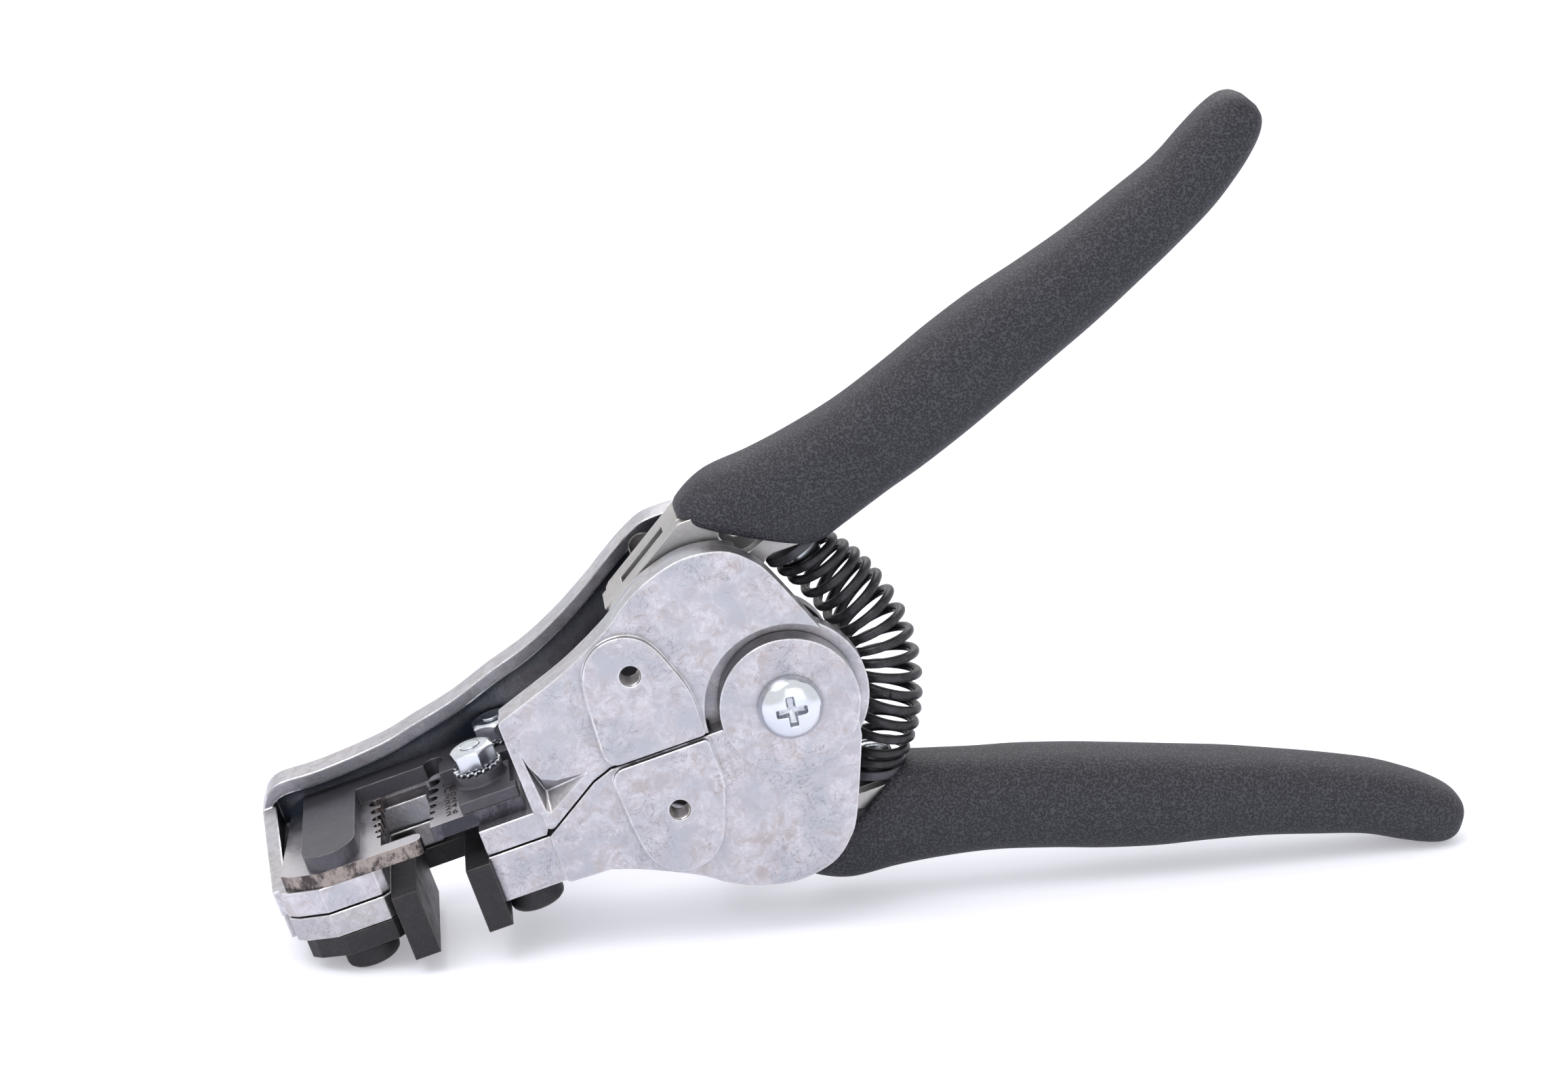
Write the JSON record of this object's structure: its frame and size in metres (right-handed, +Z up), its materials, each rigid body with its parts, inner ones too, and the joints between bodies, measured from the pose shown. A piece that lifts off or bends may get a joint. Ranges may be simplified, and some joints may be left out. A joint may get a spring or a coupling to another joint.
{
  "type": "automatic wire stripper",
  "caption": "Self-adjusting wire stripper with notched blades, gripper jaws, sliding hooks and a bowed return spring.",
  "frame": {"origin": "middle of the bounding box at its lowest plane, which is the surface that the open tool stands on", "axes": "+X from the jaws towards the handles, +Y from the near castings to the back, +Z up"},
  "size_m": [0.1876, 0.0352, 0.1227],
  "materials": {
    "die_cast_zinc": "tumbled die-cast zinc, softly worn on its edges",
    "blackened_steel": "blackened spring steel",
    "ground_steel": "ground tool steel",
    "zinc_plated_steel": "bright zinc plating",
    "lever_steel": "stamped and plated steel",
    "vinyl_grip": "dipped soft vinyl, finely pitted"
  },
  "bodies": {
    "lower_frame": {"near_lower_casting": "die_cast_zinc", "lower_side_plate": "blackened_steel", "pivot_screw": "zinc_plated_steel", "pivot_bush": "lever_steel", "pivot_nut": "zinc_plated_steel", "pivot_spacers": "lever_steel", "lower_guide_screws": "zinc_plated_steel", "right_gripper_pad": "blackened_steel", "right_jaw_screw": "blackened_steel", "return_spring": "blackened_steel"},
    "upper_frame": {"near_upper_casting": "die_cast_zinc", "upper_side_plate": "blackened_steel", "upper_guide_screws": "zinc_plated_steel", "right_blade": "ground_steel", "blade_clamp_block": "blackened_steel", "near_clamp_stud": "zinc_plated_steel", "near_lock_washer": "zinc_plated_steel", "near_clamp_nut": "zinc_plated_steel"},
    "upper_hook": {"upper_hook_casting": "die_cast_zinc", "left_blade": "ground_steel", "blade_finger_plate": "blackened_steel", "far_clamp_stud": "zinc_plated_steel", "far_lock_washer": "zinc_plated_steel", "far_clamp_nut": "zinc_plated_steel"},
    "lower_hook": {"lower_hook_casting": "die_cast_zinc", "gripper_plate": "blackened_steel", "left_gripper_pad": "blackened_steel", "left_jaw_screw": "blackened_steel"},
    "upper_handle": {"upper_lever": "lever_steel", "upper_link_pin": "lever_steel", "upper_spring_seat": "blackened_steel", "upper_grip": "vinyl_grip"},
    "lower_handle": {"lower_lever": "lever_steel", "lower_link_pin": "lever_steel", "lower_spring_seat": "blackened_steel", "lower_grip": "vinyl_grip"}
  },
  "joints": [
    {"name": "frame_spread", "type": "hinge", "parent": "lower_frame", "child": "upper_frame", "pos_m": [-0.01281, 0.0008, 0.03733], "axis": [0, 1, 0], "range_deg": [0, 16], "stiffness_Nm_per_rad": 0.5, "springref_deg": -20.05},
    {"name": "lower_handle_close", "type": "hinge", "parent": "lower_frame", "child": "lower_handle", "pos_m": [-0.01281, 0.0008, 0.03733], "axis": [0, -1, 0], "range_deg": [0, 20], "stiffness_Nm_per_rad": 1, "springref_deg": -22.92, "deforming": ["return_spring"]},
    {"name": "upper_handle_close", "type": "hinge", "parent": "upper_frame", "child": "upper_handle", "pos_m": [-0.01281, 0.0008, 0.03733], "axis": [0, 1, 0], "range_deg": [0, 20]},
    {"name": "lower_hook_slide", "type": "slide", "parent": "lower_frame", "child": "lower_hook", "axis": [0.964, 0, 0.2658], "range_m": [0, 0.0075]},
    {"name": "upper_hook_slide", "type": "slide", "parent": "upper_frame", "child": "upper_hook", "axis": [0.964, 0, 0.2658], "range_m": [0, 0.0075]}
  ],
  "couplings": [
    {"joint": "upper_handle_close", "follows": "lower_handle_close", "ratio": 1},
    {"joint": "lower_hook_slide", "follows": "lower_handle_close", "m_per_rad": 0.02148},
    {"joint": "upper_hook_slide", "follows": "lower_handle_close", "m_per_rad": 0.02148}
  ]
}
